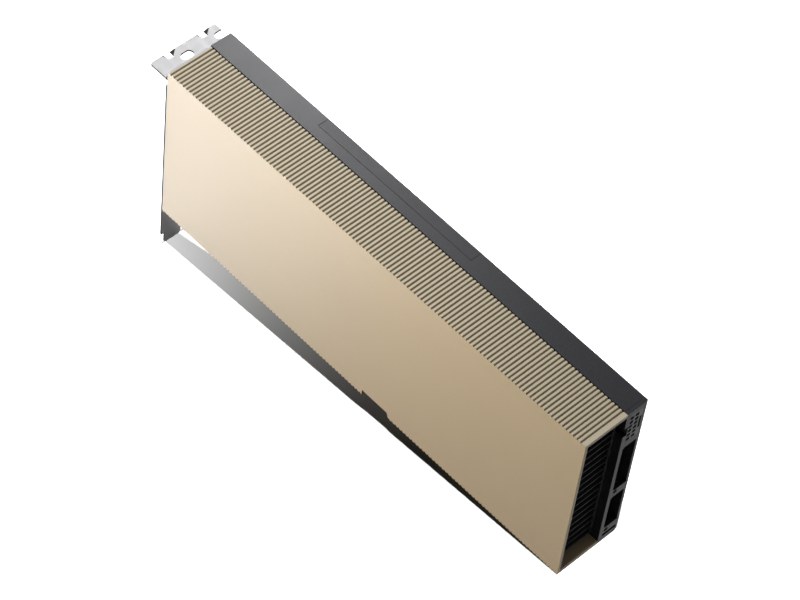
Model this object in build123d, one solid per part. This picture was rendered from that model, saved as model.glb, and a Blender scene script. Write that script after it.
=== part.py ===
from build123d import *
import math
import os

# Lengths are millimetres. While it is built, the card has x = 0 at the bracket
# end of the body, y = 0 at the front face and z = 0 at the body's lower edge.
# placed() then sets the origin under the middle of the card, at the tab tips.

# Body
body_length = 266.7
body_height = 98.64
seat_gap = 0.1
seam_gap = 0.45

# Front shroud, a channel with ribbed upper and lower walls
shroud_depth = 25.3
shroud_face = 1.6
shroud_wall = 2.0
rib_pitch = 2.162
rib_depth = 0.85
groove_mouth = 1.2
crest_chamfer = 0.2
shroud_post_r = 1.9
shroud_post_length = 9.0
shroud_screw_inset = 32.0
shroud_screw_span = 174.0
shroud_screw_count = 4
tongue_inset = 32.0
tongue_count = 4
tongue_width = 12.0
tongue_thickness = 1.1
tongue_height = 0.5
tongue_clearance = 0.1

# Notch in the lower edge that clears the latch of the slot
latch_start = 139.5
latch_flat = 16.4
latch_ramp = 1.9
latch_height = 3.3
latch_wall = 1.2

# Cooling fins and the flanged vapour chamber that they stand on
fin_count = 18
fin_first = 5.0
fin_headroom = 7.45
fin_thickness = 0.5
fin_foot = 1.0
fin_tip_gap = 0.4
inlet_recess = 4.6
outlet_recess = 6.0
flange_thickness = 0.8
flange_margin = 0.4

# Frame between the two covers
plate_thickness = 2.2
rear_wall = 2.0
bracket_wall = 2.4
chamber_start = 20.0
chamber_end_gap = 20.7
chamber_edge_gap = 9.62
chamber_corner = 4.0
chamber_gap = 0.3
cover_wall = 1.5
ledge_height = 1.5

# Circuit board
board_thickness = 1.57
board_back_gap = 1.1
board_side_gap = 0.2
board_front_end = 2.7
board_rear_inset = 6.0
board_drop = 4.25
board_raise = 1.7
board_top_gap = 13.0
edge_start = 44.5
edge_length = 85.0
edge_drop = 12.5
edge_key_offset = 12.65
edge_key_width = 1.9
edge_key_depth = 7.6
edge_bevel_height = 1.2
edge_bevel_depth = 0.4
edge_corner = 0.9
hook_slot = 2.1
hook_width = 7.4
hook_drop = 9.5
hook_undercut_height = 2.6
hook_undercut_width = 3.4
link_tab_start = 73.0
link_tab_step = 30.0
link_tab_count = 3
link_tab_width = 24.0
link_tab_top_gap = 4.2

# Back cover and the lid over the link connectors
back_wall = 1.57
back_inset = 0.4
back_edge_chamfer = 0.4
pocket_depth = 0.55
pocket_margin = 8.0
lid_start = 66.0
lid_length = 99.0
lid_depth = 6.67
lid_drop = 9.0
lid_gap = 0.15
lid_lip = 1.6
lid_lip_thickness = 0.7
lid_lip_inset = 5.0
film_thickness = 0.2
film_margin = 3.0

# Processor package and what presses it against the vapour chamber
gpu_x = 112.0
substrate_size = 55.0
substrate_thickness = 2.0
die_width = 26.0
die_height = 32.0
die_thickness = 0.8
stack_width = 7.7
stack_height = 10.0
stack_gap = 0.6
stack_count = 3
ring_width = 5.0
ring_thickness = 0.7
pedestal_width = 42.4
pedestal_height = 35.0
retention_offset = 33.0
retention_post_r = 3.4
spring_thickness = 0.8
spring_frame = 46.0
spring_window = 32.0
spring_arm = 9.0

# Components on the board
choke_start = 50.0
choke_end_gap = 60.7
choke_column_pitch = 24.0
choke_count = 7
choke_width = 6.6
choke_height = 9.6
choke_tall = 5.4
pad_thickness = 0.93
stage_offset = 7.6
stage_width = 5.0
stage_height = 6.0
stage_thickness = 1.0
filter_end_gap = 35.7
filter_count = 5
filter_r = 3.3
filter_tall = 5.0
chip_thickness = 1.1
chip_size = 8.0
chip_start = 30.0
chip_gap = 1.5
chip_rows = [-20.0, 18.0]
bypass_count = 2
bypass_pitch = 8.0
bypass_length = 1.6
bypass_width = 0.8

# Power header at the rear end
header_top_gap = 3.04
header_height = 19.4
header_front_gap = 0.2
header_back_gap = 0.5
header_reach = 18.0
header_tail = 8.0
header_notch_gap = 0.3
cell_rows = 6
cell_first_inset = 1.8
cell_pitch = 3.05
cell_front_gap = 1.6
cell_column_pitch = 3.15
cell_width = 2.3
cell_height = 2.2
cell_depth = 10.0
cell_corner = 0.4
pin_width = 0.8
pin_inset = 3.0
sense_back_gap = 1.6
sense_height = 8.5
sense_width = 1.3
sense_depth = 8.0
sense_count = 4
sense_pitch = 2.0
sense_pin = 0.5
latch_gap_inset = 5.9
latch_gap_height = 6.1
latch_reach = 10.3

# Windows and fixing holes in the rear wall
window_front_lip = 0.1
upper_window_top_gap = 4.1
window_bridge = 5.3
lower_window_low = 9.9
lower_window_high = 34.0
window_chamfer = 1.2
slot_low = 3.4
slot_high = 5.4
slot_margin = 0.2
support_hole_r = 1.25
support_hole_inset = 1.9
support_hole_low = 7.7
support_hole_spacing = 29.8
support_boss_r = 1.75
support_boss_length = 4.0

# Screws, and the number of sides that stand for a small circle
round_sides = 12
cover_screw_r = 1.0
cover_head_r = 2.1
cover_screw_inset = 4.8
cover_screw_length = 7.2
boss_wall = 1.8
upper_screw_x = [10.0, 55.0, 176.0]
upper_screw_end_gap = 34.7
lower_screw_x = [10.0, 70.0, 130.0]
lower_screw_end_gap = 10.7
shroud_screw_r = 1.0
shroud_head_r = 1.9
shroud_head_height = 1.3
shroud_screw_grip = 6.0
retention_screw_r = 1.25
retention_head_r = 2.4
retention_head_height = 0.6
retention_screw_length = 5.0
bracket_screw_r = 1.25
bracket_head_r = 2.4
bracket_head_height = 1.0
bracket_screw_length = 4.0
thread_gap = 0.05
hole_gap = 0.2
recess_width = 1.3
recess_depth = 0.5

# Input and output bracket
bracket_front = 0.1
bracket_width = 38.74
bracket_thickness = 1.0
bracket_height = 120.02
bracket_drop = 26.2
bracket_shoulder = 7.27
bracket_bend_r = 0.5
tab_front = 2.1
tab_width = 10.19
tab_corner = 1.4
slot_pitch = 20.32
flange_reach = 12.2
flange_corner = 0.8
relief_width = 1.6
relief_height = 4.1
flange_hole_x = 5.5
flange_hole_y = 16.45
flange_hole_r = 2.25
flange_hole_length = 6.9
notch_front = 8.1
notch_width = 3.5
notch_depth = 3.5
notch_corner_r = 0.7
notch_ramp_narrow = 1.3
notch_ramp_wide = 3.4
notch_ramp_depth = 0.6
vent_first = 5.2
vent_pitch = 4.9
vent_columns = 4
vent_width = 3.4
vent_corner = 1.0
vent_low = 7.0
vent_gap = 4.6
vent_top_gap = 5.62
vent_rows = 3
bracket_screw_inset = 3.7
bracket_screw_low = 14.0
bracket_screw_top_gap = 9.2

# Places that follow from the sizes above
plate_front = shroud_depth
plate_back = plate_front + plate_thickness
choke_front = plate_back + pad_thickness
board_front = choke_front + choke_tall
board_back = board_front + board_thickness
cover_inner = board_back + board_back_gap
body_depth = cover_inner + back_wall
substrate_front = board_front - substrate_thickness
die_front = substrate_front - die_thickness
fin_foot_y = plate_front - flange_thickness
fin_tip_y = shroud_face + fin_tip_gap
fin_end = body_length - inlet_recess
fin_pitch = (body_height - fin_headroom - fin_first) / (fin_count - 1)
fin_last = fin_first + (fin_count - 1) * fin_pitch
under_top = body_height - cover_wall
frame_top = under_top - seat_gap
chamber_end = body_length - chamber_end_gap
chamber_low = chamber_edge_gap
chamber_high = body_height - chamber_edge_gap
gpu_z = body_height / 2
choke_rear = body_length - choke_end_gap
choke_x = [choke_start, choke_rear - choke_column_pitch, choke_rear]
choke_pitch = (chamber_high - chamber_low) / choke_count
choke_first = chamber_low + choke_pitch / 2
filter_x = body_length - filter_end_gap
chip_beside_gpu = gpu_x + (substrate_size + chip_size) / 2 + chip_gap
chip_rear = choke_rear - (choke_width + chip_size) / 2 - chip_gap
chip_x = [chip_start, chip_beside_gpu, chip_rear]
header_high = body_height - header_top_gap
header_low = header_high - header_height
header_front = plate_back + header_front_gap
header_back = cover_inner - header_back_gap
cell_first = header_low + cell_first_inset
cell_y = plate_back + cell_front_gap
sense_y = cover_inner - sense_back_gap
latch_gap_low = header_low + latch_gap_inset
window_side = plate_back - window_front_lip
upper_window_low = lower_window_high + window_bridge
upper_window_high = header_low - upper_window_top_gap
support_hole_y = plate_back + support_hole_inset
latch_end = latch_start + latch_flat + latch_ramp
lid_front = body_depth - lid_depth
flange_z = bracket_height - bracket_drop
vent_length = (flange_z - vent_low - vent_top_gap - (vent_rows - 1) * vent_gap) / vent_rows
shroud_screw_z = body_height - shroud_wall - shroud_post_r
shroud_screw_step = shroud_screw_span / (shroud_screw_count - 1)
tongue_step = (body_length - 2 * tongue_inset - tongue_width) / (tongue_count - 1)

# Where the screws and holes are, as x-z places on the big faces and y-z places on the ends
upper_screw_z = body_height - cover_screw_inset
upper_screws = [(x, upper_screw_z) for x in upper_screw_x + [body_length - upper_screw_end_gap]]
lower_screws = [(x, cover_screw_inset) for x in lower_screw_x + [body_length - lower_screw_end_gap]]
cover_screws_at = upper_screws + lower_screws
shroud_screw_x = [shroud_screw_inset + k * shroud_screw_step for k in range(shroud_screw_count)]
shroud_screws_at = [(x, shroud_screw_z) for x in shroud_screw_x]
retention_x = (gpu_x - retention_offset, gpu_x + retention_offset)
retention_z = (gpu_z - retention_offset, gpu_z + retention_offset)
retention_at = [(x, z) for x in retention_x for z in retention_z]
bracket_screw_y = plate_back + bracket_screw_inset
bracket_screws_at = [(bracket_screw_y, z) for z in (bracket_screw_low, flange_z - bracket_screw_top_gap)]
support_holes_at = [(support_hole_y, support_hole_low + k * support_hole_spacing) for k in (0, 1)]


def rect(x0, x1, y0, y1):
    """Rectangle between two values along each sketch axis."""
    return Pos((x0 + x1) / 2, (y0 + y1) / 2) * Rectangle(x1 - x0, y1 - y0)


def polygon(points):
    """Flat face with straight sides through the points."""
    return make_face(Polyline(*points, close=True))


def along_x(profile, x0, x1):
    """Extrude a y-z profile from x0 to x1."""
    return extrude(Plane.YZ.offset(x0) * profile, amount=x1 - x0)


def along_y(profile, y0, y1):
    """Extrude an x-z profile from y0 to y1."""
    return extrude(Plane.XZ.offset(-y0) * profile, amount=y0 - y1)


def along_z(profile, z0, z1):
    """Extrude an x-y profile from z0 to z1."""
    return extrude(Plane.XY.offset(z0) * profile, amount=z1 - z0)


def disc(r):
    """Round outline with few sides, for the small round parts that repeat so often."""
    return RegularPolygon(r, round_sides)


def pins_y(places, r, y0, y1):
    """Round rods along y at x-z places."""
    return [along_y(Pos(x, z) * disc(r), y0, y1) for x, z in places]


def pins_x(places, r, x0, x1):
    """Round rods along x at y-z places."""
    return [along_x(Pos(y, z) * disc(r), x0, x1) for y, z in places]


def groove(x, z, side):
    """Section of one groove. Side is 1 on the upper wall, where crests are chamfered, and -1 below."""
    mouth = groove_mouth / 2
    right = [(mouth, seat_gap), (mouth, 0)]
    if side > 0:
        right.append((mouth - crest_chamfer, -crest_chamfer))
    left = [(-a, b) for a, b in reversed(right)]
    return polygon([(x + a, z + side * b) for a, b in right + [(0, -rib_depth)] + left])


def latch_notch(clearance=0.0):
    """Section of the notch over the latch of the slot, grown by a wall when one is given."""
    low = -1.0
    return polygon([
        (latch_start - clearance, low),
        (latch_start - clearance, latch_height + clearance),
        (latch_start + latch_flat + clearance, latch_height + clearance),
        (latch_end + clearance, low),
    ])


def front_shroud():
    """Ribbed channel with screw posts under its upper wall and tongues on its lower one."""
    outline = rect(0, body_length, 0, body_height)
    count = int(body_length / rib_pitch)
    for z, side in ((body_height, 1), (0, -1)):
        outline -= [groove(k * rib_pitch, z, side) for k in range(count)]
    outline -= latch_notch()
    shell = along_y(outline, 0, shroud_depth)
    inside = rect(-1, body_length + 1, shroud_wall, body_height - shroud_wall) - latch_notch(latch_wall)
    shell -= along_y(inside, shroud_face, shroud_depth + 1)
    post = disc(shroud_post_r) + rect(-shroud_post_r, shroud_post_r, 0, shroud_post_r + seat_gap)
    posts = [Pos(x, z) * post for x, z in shroud_screws_at]
    shell += along_y(Sketch() + posts, shroud_depth - shroud_post_length, shroud_depth)
    tapped = shroud_screw_r + thread_gap
    shell -= pins_y(shroud_screws_at, tapped, shroud_depth - shroud_screw_grip - 1, shroud_depth)
    tongues = [tongue(k, 0) for k in range(tongue_count)]
    return shell + along_y(Sketch() + tongues, shroud_depth, plate_back)


def tongue(k, clearance):
    """Section of a tongue that holds the shroud's lower wall in the frame."""
    x = tongue_inset + k * tongue_step
    top = shroud_wall + tongue_height
    return rect(x - clearance, x + tongue_width + clearance,
                top - tongue_thickness - clearance, top + clearance)


def cooling_fins():
    """Flat plates with a folded foot on the vapour chamber."""
    top = fin_thickness / 2
    foot = [(fin_tip_y, -top), (fin_foot_y, -top), (fin_foot_y, top + fin_foot),
            (fin_foot_y - fin_thickness, top + fin_foot), (fin_foot_y - fin_thickness, top),
            (fin_tip_y, top)]
    fin = along_x(polygon(foot), outlet_recess, fin_end)
    return Compound([Pos(0, 0, fin_first + k * fin_pitch) * fin for k in range(fin_count)])


def heat_spreader():
    """Vapour chamber: a flange under the fins, the chamber in the frame and a pedestal for the die."""
    flange_high = fin_last + fin_thickness / 2 + fin_foot
    flange = rect(outlet_recess, fin_end, fin_first - flange_margin, flange_high)
    plate = along_y(flange, fin_foot_y, plate_front)
    chamber = rect(chamber_start + chamber_gap, chamber_end - chamber_gap,
                   chamber_low + chamber_gap, chamber_high - chamber_gap)
    plate += along_y(chamfer(chamber.vertices(), chamber_corner), plate_front, plate_back)
    pedestal = Pos(gpu_x, gpu_z) * Rectangle(pedestal_width, pedestal_height)
    plate += along_y(pedestal, plate_back, die_front)
    plate += pins_y(retention_at, retention_post_r, plate_back, board_front)
    return plate - pins_y(retention_at, retention_screw_r + thread_gap, plate_back, board_front)


def base_frame():
    """Cast frame: a plate round the vapour chamber, an end wall at the bracket and the rear wall."""
    outline = rect(0, body_length, 0, frame_top)
    opening = rect(chamber_start, chamber_end, chamber_low, chamber_high)
    outline -= chamfer(opening.vertices(), chamber_corner)
    frame = along_y(outline, plate_front, plate_back)
    frame += along_x(rect(plate_back, cover_inner, 0, frame_top), 0, bracket_wall)
    ledge_end = board_front - board_side_gap
    frame += along_x(rect(plate_back, ledge_end, 0, ledge_height), 0, body_length)
    frame += along_x(rect(ledge_end, cover_inner, 0, ledge_height), latch_end + latch_wall, body_length)
    frame += along_x(rear_profile(), body_length - rear_wall, body_length)
    frame += pins_y(cover_screws_at, cover_screw_r + boss_wall, plate_back, board_front)
    wall_inner = body_length - rear_wall
    frame += pins_x(support_holes_at, support_boss_r, wall_inner - support_boss_length, wall_inner)
    frame += bracket_bosses()
    frame -= pins_y(cover_screws_at, cover_screw_r + thread_gap, plate_back, board_front)
    frame -= pins_y(shroud_screws_at, shroud_screw_r + hole_gap, plate_front, plate_back)
    sockets = [tongue(k, tongue_clearance) for k in range(tongue_count)]
    frame -= along_y(Sketch() + sockets, plate_front, plate_back)
    bore = Rot(0, 90, 0) * Cylinder(support_hole_r, rear_wall + support_boss_length)
    middle = body_length - (rear_wall + support_boss_length) / 2
    frame -= [Pos(middle, y, z) * bore for y, z in support_holes_at]
    frame -= pins_x(bracket_screws_at, bracket_screw_r + thread_gap, 0, bracket_screw_length)
    frame += along_y(latch_notch(latch_wall), plate_back, ledge_end)
    frame -= along_y(latch_notch(), plate_front, cover_inner)
    frame &= along_y(rect(0, body_length, 0, body_height), plate_front, cover_inner)
    return frame - header_space()


def bracket_bosses():
    """Bosses that lengthen the threads for the bracket screws."""
    return pins_x(bracket_screws_at, bracket_screw_r + boss_wall / 2, bracket_wall, bracket_screw_length)


def header_space():
    """Room for the power header and for the latch of its plug."""
    outline = rect(header_front - seat_gap, header_back + seat_gap,
                   header_low - seat_gap, header_high + seat_gap)
    room = along_x(outline, body_length - header_reach, body_length)
    latch = along_x(rect(plate_front, header_front, latch_gap_low, latch_gap_low + latch_gap_height),
                    body_length - latch_reach, body_length)
    return room + latch


def rear_profile():
    """Section of the rear wall with its two windows and the long slot near the lower edge."""
    wall = rect(plate_front, cover_inner, 0, body_height)
    for low, high in ((upper_window_low, upper_window_high), (lower_window_low, lower_window_high)):
        wall -= polygon([
            (window_side, low + window_chamfer), (window_side, high - window_chamfer),
            (window_side + window_chamfer, high), (cover_inner, high),
            (cover_inner, low), (window_side + window_chamfer, low),
        ])
    return wall - rect(window_side + slot_margin, cover_inner - slot_margin, slot_low, slot_high)


def back_cover():
    """Cover with a folded upper wall, standoffs for the board and countersunk screw holes."""
    fold = [(plate_front + seam_gap, body_height), (body_depth, body_height), (body_depth, 0),
            (cover_inner, 0),
            (cover_inner, under_top), (plate_front + seam_gap, under_top)]
    cover = along_x(polygon(fold), 0, body_length - rear_wall - seat_gap)
    end = rect(body_length - rear_wall - seat_gap, body_length - back_inset, 0, body_height)
    cover += along_y(end, cover_inner, body_depth)
    cover = chamfer(cover.edges().filter_by(Axis.X).group_by(Axis.Y)[-1], back_edge_chamfer)
    cover -= lid_opening()
    reach = retention_offset + pocket_margin
    pocket = rect(gpu_x - reach, gpu_x + reach, gpu_z - reach, gpu_z + reach)
    cover -= along_y(pocket, cover_inner, cover_inner + pocket_depth)
    cover += pins_y(cover_screws_at, cover_screw_r + boss_wall, board_back, cover_inner)
    bore_r = cover_screw_r + hole_gap
    sink = tapered_disc(cover_head_r, bore_r)
    cover -= [Pos(x, body_depth, z) * Rot(-90, 0, 0) * sink for x, z in cover_screws_at]
    cover -= pins_y(cover_screws_at, bore_r, board_back, body_depth)
    return cover - along_y(latch_notch(), cover_inner, body_depth)


def tapered_disc(wide_r, narrow_r):
    """Countersink or screw head of 45 degrees, from its wide end in the plane z = 0 downwards."""
    narrow = Plane.XY.offset(narrow_r - wide_r) * disc(narrow_r)
    return loft([narrow, disc(wide_r)], ruled=True)


def lid_section(gap):
    """Section of the lid's corner over the upper back edge, smaller by the gap."""
    low = body_height - lid_drop + gap
    return [(lid_front + gap, body_height), (body_depth, body_height), (body_depth, low),
            (cover_inner, low), (cover_inner, under_top), (lid_front + gap, under_top)]


def lid_opening():
    """Space that the lid takes out of the back cover."""
    over = 1.0
    top = rect(lid_front, body_depth + over, under_top - over, body_height + over)
    back = rect(cover_inner - seat_gap, body_depth + over, body_height - lid_drop, body_height)
    return along_x(top + back, lid_start, lid_start + lid_length)


def link_lid():
    """Angled lid over the link connectors, with a lip under each edge of its opening."""
    start = lid_start + lid_gap
    end = lid_start + lid_length - lid_gap
    lid = along_x(polygon(lid_section(lid_gap)), start, end)
    lid = chamfer(lid.edges().filter_by(Axis.X).group_by(Axis.Y)[-1], back_edge_chamfer)
    low = body_height - lid_drop
    under = under_top - seat_gap - lid_lip_thickness
    top_lip = rect(lid_front - lid_lip, cover_inner, under, under_top - seat_gap)
    top_lip += rect(lid_front + lid_gap, cover_inner, under, under_top)
    behind = cover_inner - seat_gap - lid_lip_thickness
    back_lip = rect(behind, cover_inner - seat_gap, low - lid_lip, under)
    back_lip += rect(behind, cover_inner, low + lid_gap, under)
    lips = along_x(top_lip + back_lip, start + lid_lip_inset, end - lid_lip_inset)
    return lid + lips


def board_outline():
    """Outline of the board with its contact edge, the latch hook and the link tabs."""
    rear = body_length - board_rear_inset
    top = body_height - board_top_gap
    board = rect(board_front_end, rear, board_raise, frame_top - seat_gap)
    board += rect(board_front_end, latch_start, -board_drop, board_raise)
    contacts = rect(edge_start, edge_start + edge_length, -edge_drop, -board_drop)
    board += chamfer(contacts.vertices().group_by(Axis.Y)[0], edge_corner)
    hook = edge_start + edge_length + hook_slot
    board += rect(hook, hook + hook_width, -hook_drop, -board_drop)
    board -= rect(hook + hook_width - hook_undercut_width, hook + hook_width,
                  -board_drop - hook_undercut_height, board_raise)
    key = edge_start + edge_key_offset
    board -= rect(key - edge_key_width / 2, key + edge_key_width / 2,
                  -edge_drop, edge_key_depth - edge_drop)
    board -= rect(lid_start - lid_gap, lid_start + lid_length + lid_gap, top, body_height)
    for k in range(link_tab_count):
        x = link_tab_start + k * link_tab_step
        board += rect(x, x + link_tab_width, top, body_height - link_tab_top_gap)
    corner = body_length - header_reach - header_notch_gap
    board -= rect(corner, rear, header_low - header_notch_gap, header_high + header_notch_gap)
    return board - latch_notch(seat_gap)


def circuit_board():
    """Board with screw holes and a bevelled contact edge."""
    board = bevel_edge(along_y(board_outline(), board_front, board_back))
    board -= pins_y(cover_screws_at, cover_screw_r + hole_gap, board_front, board_back)
    return board - pins_y(retention_at, retention_screw_r + hole_gap, board_front, board_back)


def bevel_edge(board):
    """Slope both faces of the contact edge towards its lower rim."""
    for face, inward in ((board_front, 1), (board_back, -1)):
        wedge = polygon([(face, -edge_drop), (face + inward * edge_bevel_depth, -edge_drop),
                         (face, -edge_drop + edge_bevel_height)])
        board -= along_x(wedge, edge_start - 1, edge_start + edge_length + 1)
    return board


def gpu_substrate():
    """Carrier of the die and the memory."""
    outline = Pos(gpu_x, gpu_z) * Rectangle(substrate_size, substrate_size)
    return along_y(outline, substrate_front, board_front)


def gpu_die():
    """Processor die in the middle of the carrier."""
    return along_y(Pos(gpu_x, gpu_z) * Rectangle(die_width, die_height), die_front, substrate_front)


def memory_stacks():
    """Three memory stacks on each side of the die."""
    offset = (die_width + stack_width) / 2 + stack_gap
    pitch = stack_height + stack_gap
    stack = along_y(Rectangle(stack_width, stack_height), die_front, substrate_front)
    rows = [(k - (stack_count - 1) / 2) * pitch for k in range(stack_count)]
    places = [(gpu_x + side * offset, gpu_z + row) for side in (-1, 1) for row in rows]
    return Compound([Pos(x, 0, z) * stack for x, z in places])


def package_ring():
    """Stiffening ring on the rim of the carrier."""
    inner = substrate_size - 2 * ring_width
    ring = Rectangle(substrate_size, substrate_size) - Rectangle(inner, inner)
    return along_y(Pos(gpu_x, gpu_z) * ring, substrate_front - ring_thickness, substrate_front)


def choke_places():
    """Centres of the chokes, one column after another."""
    return [(x, choke_first + k * choke_pitch) for x in choke_x for k in range(choke_count)]


def chokes():
    """Moulded chokes of the power stages."""
    body = along_y(Rectangle(choke_width, choke_height), choke_front, board_front)
    return Compound([Pos(x, 0, z) * body for x, z in choke_places()])


def power_stages():
    """Flat switching packages beside the chokes."""
    body = along_y(Rectangle(stage_width, stage_height), board_front - stage_thickness, board_front)
    return Compound([Pos(x + stage_offset, 0, z) * body for x, z in choke_places()])


def thermal_pads():
    """Soft strips between the chokes and the vapour chamber."""
    low = choke_first - choke_height / 2
    high = choke_first + (choke_count - 1) * choke_pitch + choke_height / 2
    strips = [rect(x - choke_width / 2, x + choke_width / 2, low, high) for x in choke_x]
    return Compound([along_y(strip, plate_back, choke_front) for strip in strips])


def filter_capacitors():
    """Column of round filter capacitors."""
    places = [(filter_x, choke_first + k * choke_pitch) for k in range(filter_count)]
    return Compound(pins_y(places, filter_r, board_front - filter_tall, board_front))


def control_chips():
    """Controllers and memory chips around the package."""
    chip = along_y(Rectangle(chip_size, chip_size), board_front - chip_thickness, board_front)
    return Compound([Pos(x, 0, gpu_z + z) * chip for x in chip_x for z in chip_rows])


def bypass_capacitors():
    """Grid of small capacitors on the back of the board, inside the spring's window."""
    body = along_y(Rectangle(bypass_length, bypass_width), board_back, board_back + bypass_width)
    rows = [(k - (bypass_count - 1) / 2) * bypass_pitch for k in range(bypass_count)]
    return Compound([Pos(gpu_x + a, 0, gpu_z + b) * body for a in rows for b in rows])


def spring_plate():
    """Sprung cross on the back of the board that pulls the chamber onto the die."""
    frame = Rectangle(spring_frame, spring_frame)
    reach = retention_offset * math.sqrt(2)
    arm = Rectangle(2 * reach + spring_arm, spring_arm)
    arm = chamfer(arm.vertices(), spring_arm / 3)
    frame += [Rot(0, 0, turn) * arm for turn in (45, -45)]
    frame -= Rectangle(spring_window, spring_window)
    frame -= [Pos(i * retention_offset, k * retention_offset) * disc(retention_screw_r + hole_gap)
              for i in (-1, 1) for k in (-1, 1)]
    return along_y(Pos(gpu_x, gpu_z) * frame, board_back, board_back + spring_thickness)


def insulating_film():
    """Film on the inside of the back cover, between the two rows of screws and open at the pocket."""
    low = cover_screw_inset + cover_screw_r + boss_wall + hole_gap
    high = body_height - lid_drop - lid_lip - film_margin
    outline = rect(film_margin, body_length - board_rear_inset, low, high)
    reach = retention_offset + pocket_margin
    outline -= rect(gpu_x - reach, gpu_x + reach, gpu_z - reach, gpu_z + reach)
    return along_y(outline, cover_inner - film_thickness, cover_inner)


def cell_places():
    """Centres of the power header's cells."""
    columns = (cell_y, cell_y + cell_column_pitch)
    return [(y, cell_first + k * cell_pitch) for y in columns for k in range(cell_rows)]


def sense_places():
    """Centres of the small pins in the side slot."""
    middle = cell_first + (cell_rows - 1) * cell_pitch / 2
    return [(sense_y, middle + (k - (sense_count - 1) / 2) * sense_pitch) for k in range(sense_count)]


def power_pins():
    """Angled pins from the header's cells to the board, and straight ones in the side slot."""
    half = pin_width / 2
    pins = []
    for i, (y, z) in enumerate(cell_places()):
        tail = body_length - header_reach - header_tail / 2 + (i // cell_rows) * pin_width * 2
        bent = Polyline((body_length - pin_inset, y), (tail, y), (tail, board_front))
        path = trace(bent, pin_width)
        pins.append(Pos(0, 0, z) * extrude(path, amount=half, both=True))
    start = body_length - sense_depth - 2
    for y, z in sense_places():
        pins.append(along_x(Pos(y, z) * Rectangle(sense_pin, sense_pin), start, body_length - pin_inset))
    return Compound(pins)


def power_header():
    """Header with a block of cells, a slot for the small pins and a tail over the board."""
    face = rect(header_front, header_back, header_low, header_high)
    body = along_x(chamfer(face.vertices(), cell_corner), body_length - header_reach, body_length)
    tail = rect(header_front, board_front, header_low + cell_corner, header_high - cell_corner)
    body += along_x(tail, body_length - header_reach - header_tail, body_length - header_reach)
    cell = Rectangle(cell_width, cell_height)
    cell = chamfer(cell.vertices().group_by(Axis.X)[0], cell_corner)
    cells = Sketch() + [Pos(y, z) * cell for y, z in cell_places()]
    body -= along_x(cells, body_length - cell_depth, body_length)
    middle = cell_first + (cell_rows - 1) * cell_pitch / 2
    slot = Pos(sense_y, middle) * Rectangle(sense_width, sense_height)
    body -= along_x(slot, body_length - sense_depth, body_length)
    return body - power_pins()


def screw(r, length, head_r, head_height, recess=True, countersunk=False):
    """Screw along z with its head's top in the plane z = 0, with a cross recess where it shows."""
    head = tapered_disc(head_r, r) if countersunk else along_z(disc(head_r), -head_height, 0)
    body = head + along_z(disc(r), -length, -head_height)
    if not recess:
        return body
    arm = recess_width / 3
    cross = Rectangle(2 * recess_width, arm) + Rectangle(arm, 2 * recess_width)
    return body - along_z(cross, -recess_depth, 0)


def cover_screws():
    """Countersunk screws through the back cover and the board into the frame."""
    head = cover_head_r - cover_screw_r
    one = screw(cover_screw_r, cover_screw_length, cover_head_r, head, countersunk=True)
    return Compound([Pos(x, body_depth, z) * Rot(-90, 0, 0) * one for x, z in cover_screws_at])


def shroud_screws():
    """Screws from inside the frame into the posts of the shroud."""
    length = shroud_head_height + plate_thickness + shroud_screw_grip
    one = screw(shroud_screw_r, length, shroud_head_r, shroud_head_height, recess=False)
    y = plate_back + shroud_head_height
    return Compound([Pos(x, y, z) * Rot(-90, 0, 0) * one for x, z in shroud_screws_at])


def retention_screws():
    """Screws through the spring plate and the board into the vapour chamber's posts."""
    one = screw(retention_screw_r, retention_screw_length, retention_head_r, retention_head_height,
                recess=False)
    top = board_back + spring_thickness + retention_head_height
    return Compound([Pos(x, top, z) * Rot(-90, 0, 0) * one for x, z in retention_at])


def bracket_screws():
    """Low headed screws through the bracket into the frame's end wall."""
    length = bracket_head_height + bracket_thickness + bracket_screw_length - 1
    one = screw(bracket_screw_r, length, bracket_head_r, bracket_head_height)
    outer = -bracket_thickness - bracket_head_height
    return Compound([Pos(outer, y, z) * Rot(0, -90, 0) * one for y, z in bracket_screws_at])


def io_bracket():
    """Folded steel bracket with two tabs, vents and a flange for the chassis screws."""
    low = bracket_shoulder - bracket_drop
    under = flange_z - bracket_thickness
    fold = [(0, low), (0, flange_z), (-flange_reach, flange_z), (-flange_reach, under),
            (-bracket_thickness, under), (-bracket_thickness, low)]
    section = polygon(fold)
    section = fillet(section.vertices().sort_by(Axis.X).filter_by(lambda v: abs(v.X) < 0.01 and v.Y > 0),
                     bracket_bend_r + bracket_thickness)
    section = fillet(section.vertices().filter_by(
        lambda v: abs(v.X + bracket_thickness) < 0.01 and v.Y > 0), bracket_bend_r)
    bracket = along_y(section, bracket_front, bracket_front + bracket_width)
    bracket = chamfer(bracket.edges().filter_by(Axis.Z).group_by(Axis.X)[0], flange_corner)
    bracket += along_x(Sketch() + [tab(k) for k in (0, 1)], -bracket_thickness, 0)
    bracket -= along_x(Sketch() + vents(), -bracket_thickness, 0)
    relief = rect(0, bracket_front + relief_width, under - relief_height, under)
    bracket -= along_x(relief, -bracket_thickness, 0)
    bracket -= pins_x(bracket_screws_at, bracket_screw_r + hole_gap, -bracket_thickness, 0)
    bracket -= along_z(Sketch() + flange_cuts(), under, flange_z)
    for k in (0, 1):
        bracket -= notch_ramps(bracket_front + notch_front + k * slot_pitch)
    return bracket


def tab(k):
    """Outline of one tab that goes into the chassis."""
    start = bracket_front + tab_front + k * slot_pitch
    end = start + tab_width
    low = -bracket_drop
    high = bracket_shoulder - bracket_drop
    return polygon([(start, high), (start, low + tab_corner / 2), (start + tab_corner / 2, low),
                    (end - tab_corner, low), (end, low + tab_corner), (end, high)])


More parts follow.
